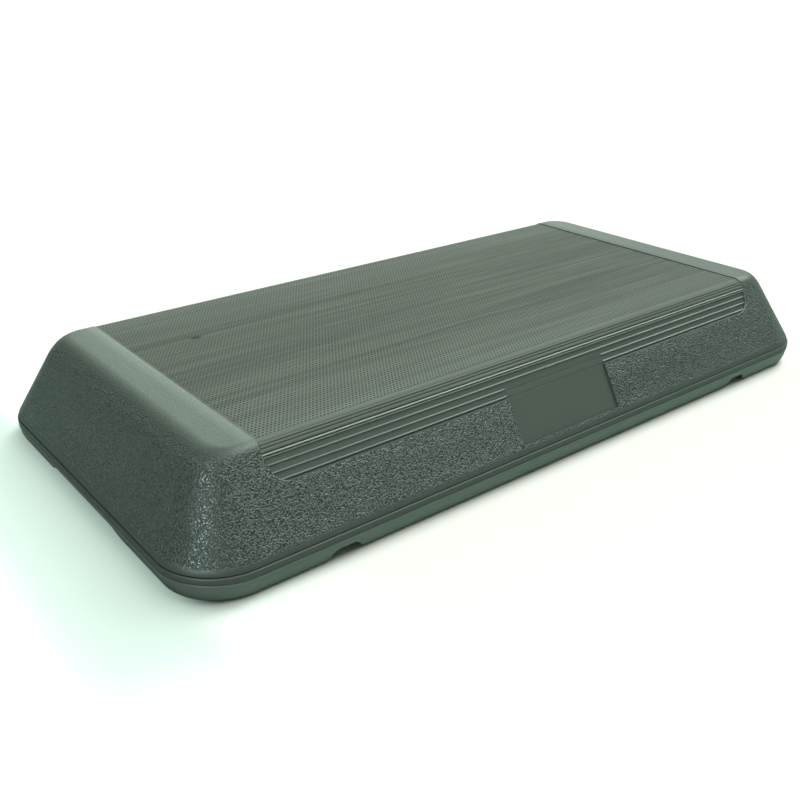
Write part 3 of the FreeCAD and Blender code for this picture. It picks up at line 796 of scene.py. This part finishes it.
# Bright zinc over cold-headed steel: grey and fairly sharp, with slight clouding.
zinc_cloud_size = 2 * mm
zinc_steel, tree = new_material("steel_cold_headed_zinc_plated")
spot = node(tree, "ShaderNodeTexCoord").outputs["Object"]
cloud = node(tree, "ShaderNodeTexNoise", {}, {
    "Vector": spot, "Scale": 1 / zinc_cloud_size, "Detail": 3}).outputs["Fac"]
tint = node(tree, "ShaderNodeMixRGB", {}, {
    "Fac": cloud, "Color1": linear("#a9acad"), "Color2": linear("#c3c6c6")})
sheen = node(tree, "ShaderNodeMapRange", {}, {"Value": cloud, "To Min": 0.25, "To Max": 0.42})
shader = node(tree, "ShaderNodeBsdfPrincipled", {}, {
    "Base Color": tint.outputs["Color"], "Metallic": 1.0, "Roughness": sheen.outputs["Result"]})
node(tree, "ShaderNodeOutputMaterial", {}, {"Surface": shader.outputs["BSDF"]})

# One screw, copied to the other places.
bpy.ops.object.select_all(action="DESELECT")
bpy.ops.mesh.primitive_cylinder_add(vertices=head_sides, radius=head_radius, depth=head_height,
                                    location=(0, 0, panel_under - head_height / 2))
screws = bpy.context.object
screws.name = "case_screws_pan_heads"
screws.data.materials.append(zinc_steel)
bpy.ops.object.transform_apply(location=True)
edit(screws)
pick(screws, lambda edge: max(vertex.co.z for vertex in edge.verts) < panel_under - head_height / 2)
bpy.ops.mesh.bevel(offset=head_round, segments=head_round_steps, affect="EDGES")
close_piece(screws)
for long, wide in ((cross_half, cross_width), (cross_width, cross_half)):
    section = [(-long, -wide), (long, -wide), (long, wide), (-long, wide)]
    bit = [Vector((x, y, head_under - cross_below)) for x, y in section]
    combine(screws, bar("bit", zinc_steel, bit, [0] * 4, Vector((0, 0, cross_depth + cross_below))))
edit(screws)
bpy.ops.mesh.select_all(action="DESELECT")
bpy.ops.mesh.primitive_cone_add(vertices=shank_sides, radius1=shank_radius, radius2=shank_tip,
                                depth=shank_length, location=(0, 0, panel_under + shank_length / 2))
close_piece(screws)
edit(screws)
bpy.ops.mesh.select_all(action="SELECT")
last = Vector((*screw_places[0], 0))
bpy.ops.transform.translate(value=last)
for place in screw_places[1:]:
    bpy.ops.mesh.duplicate_move(TRANSFORM_OT_translate={"value": Vector((*place, 0)) - last})
    last = Vector((*place, 0))
close_piece(screws)
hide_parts("case_screws")
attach(screws, "root")

# Studio: a pale floor that runs out past the view, soft light from the upper right and a low camera
# at the near left corner, as the photograph was taken.
floor_size = 40
tint_start = -0.45
tint_end = -0.25
glow_share = 0.6
glow_ramps = (("X", -0.53, -0.45), ("X", -0.372, -0.405), ("Y", -0.30, -0.20))
bpy.ops.object.select_all(action="DESELECT")
bpy.ops.mesh.primitive_plane_add(size=floor_size, location=(0, 0, 0))
floor = bpy.context.object
floor.name = "studio_floor"

# White matt paper that keeps the shadow. To the left of the platform the camera sees it greener, and part
# of it glows there, in place of more light from the left, which would keep that shadow pale; further right
# the camera sees it warmer. Both tints are painted and show mostly in the shadow. Reflections see the paper
# darker and greener. From below the paper is clear, also for rays that have come through it, so that the
# underside can be looked at.
paper, tree = new_material("paper_matte_white")
rays = node(tree, "ShaderNodeLightPath")
spot = node(tree, "ShaderNodeTexCoord").outputs["Object"]
axes = node(tree, "ShaderNodeSeparateXYZ", {}, {"Vector": spot})
rightward = node(tree, "ShaderNodeMapRange", {}, {
    "Value": axes.outputs["X"], "From Min": tint_start, "From Max": tint_end})
# Greener to the left, warmer to the right: a painted tint of the shadow.
seen = node(tree, "ShaderNodeMixRGB", {}, {
    "Fac": rightward.outputs["Result"], "Color1": linear("#f0f8f3"), "Color2": linear("#e5dedc")})
spread = node(tree, "ShaderNodeMixRGB", {}, {
    "Fac": rays.outputs["Is Glossy Ray"], "Color1": linear("#ecefea"), "Color2": linear("#9eb3a8")})
shown = node(tree, "ShaderNodeMixRGB", {}, {
    "Fac": rays.outputs["Is Camera Ray"], "Color1": spread.outputs["Color"], "Color2": seen.outputs["Color"]})
diffuse = node(tree, "ShaderNodeBsdfDiffuse", {}, {"Color": shown.outputs["Color"]})
glow = node(tree, "ShaderNodeMath", product, {0: rays.outputs["Is Camera Ray"], 1: glow_share})
for axis, dark, full in glow_ramps:
    ramp = node(tree, "ShaderNodeMapRange", eased, {
        "Value": axes.outputs[axis], "From Min": dark, "From Max": full})
    glow = node(tree, "ShaderNodeMath", product, {0: glow.outputs["Value"], 1: ramp.outputs["Result"]})
bright = node(tree, "ShaderNodeEmission", {}, {"Color": linear("#d1ebdd"), "Strength": 1})
lit = node(tree, "ShaderNodeMixShader", {}, {
    "Fac": glow.outputs["Value"], 1: diffuse.outputs["BSDF"], 2: bright.outputs["Emission"]})
nothing = node(tree, "ShaderNodeBsdfTransparent")
under = node(tree, "ShaderNodeNewGeometry").outputs["Backfacing"]
through = node(tree, "ShaderNodeMath", {"operation": "MAXIMUM"}, {
    0: under, 1: rays.outputs["Transparent Depth"]})
surface = node(tree, "ShaderNodeMixShader", {}, {
    "Fac": through.outputs["Value"], 1: lit.outputs["Shader"], 2: nothing.outputs["BSDF"]})
node(tree, "ShaderNodeOutputMaterial", {}, {"Surface": surface.outputs["Shader"]})
floor.data.materials.append(paper)

# A dim greenish room with one bright wall at the back right, lighter for rays that have come through the
# floor. The camera itself sees plain white.
room_level = 0.19
wall_level = 3.8
under_level = 0.4
world = bpy.data.worlds.new("studio")
world.use_nodes = True
tree = world.node_tree
tree.nodes.clear()
rays = node(tree, "ShaderNodeLightPath")
direction = node(tree, "ShaderNodeTexCoord").outputs["Generated"]
toward = node(tree, "ShaderNodeSeparateXYZ", {}, {"Vector": direction})
right = node(tree, "ShaderNodeMapRange", eased, {
    "Value": toward.outputs["X"], "From Min": 0.1, "From Max": 0.42})
back = node(tree, "ShaderNodeMapRange", eased, {
    "Value": toward.outputs["Y"], "From Min": 0.45, "From Max": 0.8})
wall = node(tree, "ShaderNodeMath", product, {0: right.outputs["Result"], 1: back.outputs["Result"]})
sweep = node(tree, "ShaderNodeMapRange", {}, {
    "Value": wall.outputs["Value"], "To Min": room_level, "To Max": wall_level})
strength = node(tree, "ShaderNodeMath", {"operation": "MULTIPLY_ADD"}, {
    0: rays.outputs["Transparent Depth"], 1: under_level, 2: sweep.outputs["Result"]})
room = node(tree, "ShaderNodeBackground", {}, {
    "Color": linear("#ecfff1"), "Strength": strength.outputs["Value"]})
backdrop = node(tree, "ShaderNodeBackground", {}, {"Color": linear("#ffffff"), "Strength": 1})
sky = node(tree, "ShaderNodeMixShader", {}, {
    "Fac": rays.outputs["Is Camera Ray"], 1: room.outputs["Background"], 2: backdrop.outputs["Background"]})
node(tree, "ShaderNodeOutputWorld", {}, {"Surface": sky.outputs["Shader"]})
bpy.context.scene.world = world

lamp_aim = Vector((0, 0, 0.05))


def lamp(name, kind, place, power, colour):
    """Light of a kind that looks at the platform."""
    data = bpy.data.lights.new(name, kind)
    data.energy = power
    data.color = linear(colour)[:3]
    light = bpy.data.objects.new(name, data)
    light.location = place
    light.rotation_euler = (lamp_aim - light.location).to_track_quat("-Z", "Y").to_euler()
    bpy.context.collection.objects.link(light)
    return light


ceiling = lamp("ceiling", "SUN", place=(1.15, 0.25, 1.35), power=2.75, colour="#f3fff7")
ceiling.data.angle = math.radians(30)
front_light = lamp("front", "SUN", place=(0.4, -0.3, 1.35), power=2.0, colour="#f3fff9")
front_light.data.angle = math.radians(40)

# The window only gives the left end its sheen.
window_light = lamp("window", "AREA", place=(-1.56, -0.72, 0.85), power=26, colour="#e5ffff")
window_light.data.size = 0.7
window_light.visible_diffuse = False

# Focal length, place and angles were fitted to the straight edges in the photograph.
lens_pixels = 945.2
frame_pixels = 800
camera_place = (-0.6202, -0.7159, 0.4347)
camera_down = math.radians(25.40)
camera_round = math.radians(38.52)
camera_data = bpy.data.cameras.new("camera")
camera_data.sensor_width = 36
camera_data.lens = camera_data.sensor_width * lens_pixels / frame_pixels
camera = bpy.data.objects.new("camera", camera_data)
camera.location = camera_place
camera.rotation_euler = (math.pi / 2 - camera_down, 0, -camera_round)
bpy.context.collection.objects.link(camera)
bpy.context.scene.camera = camera
bpy.context.scene.view_settings.view_transform = "Standard"
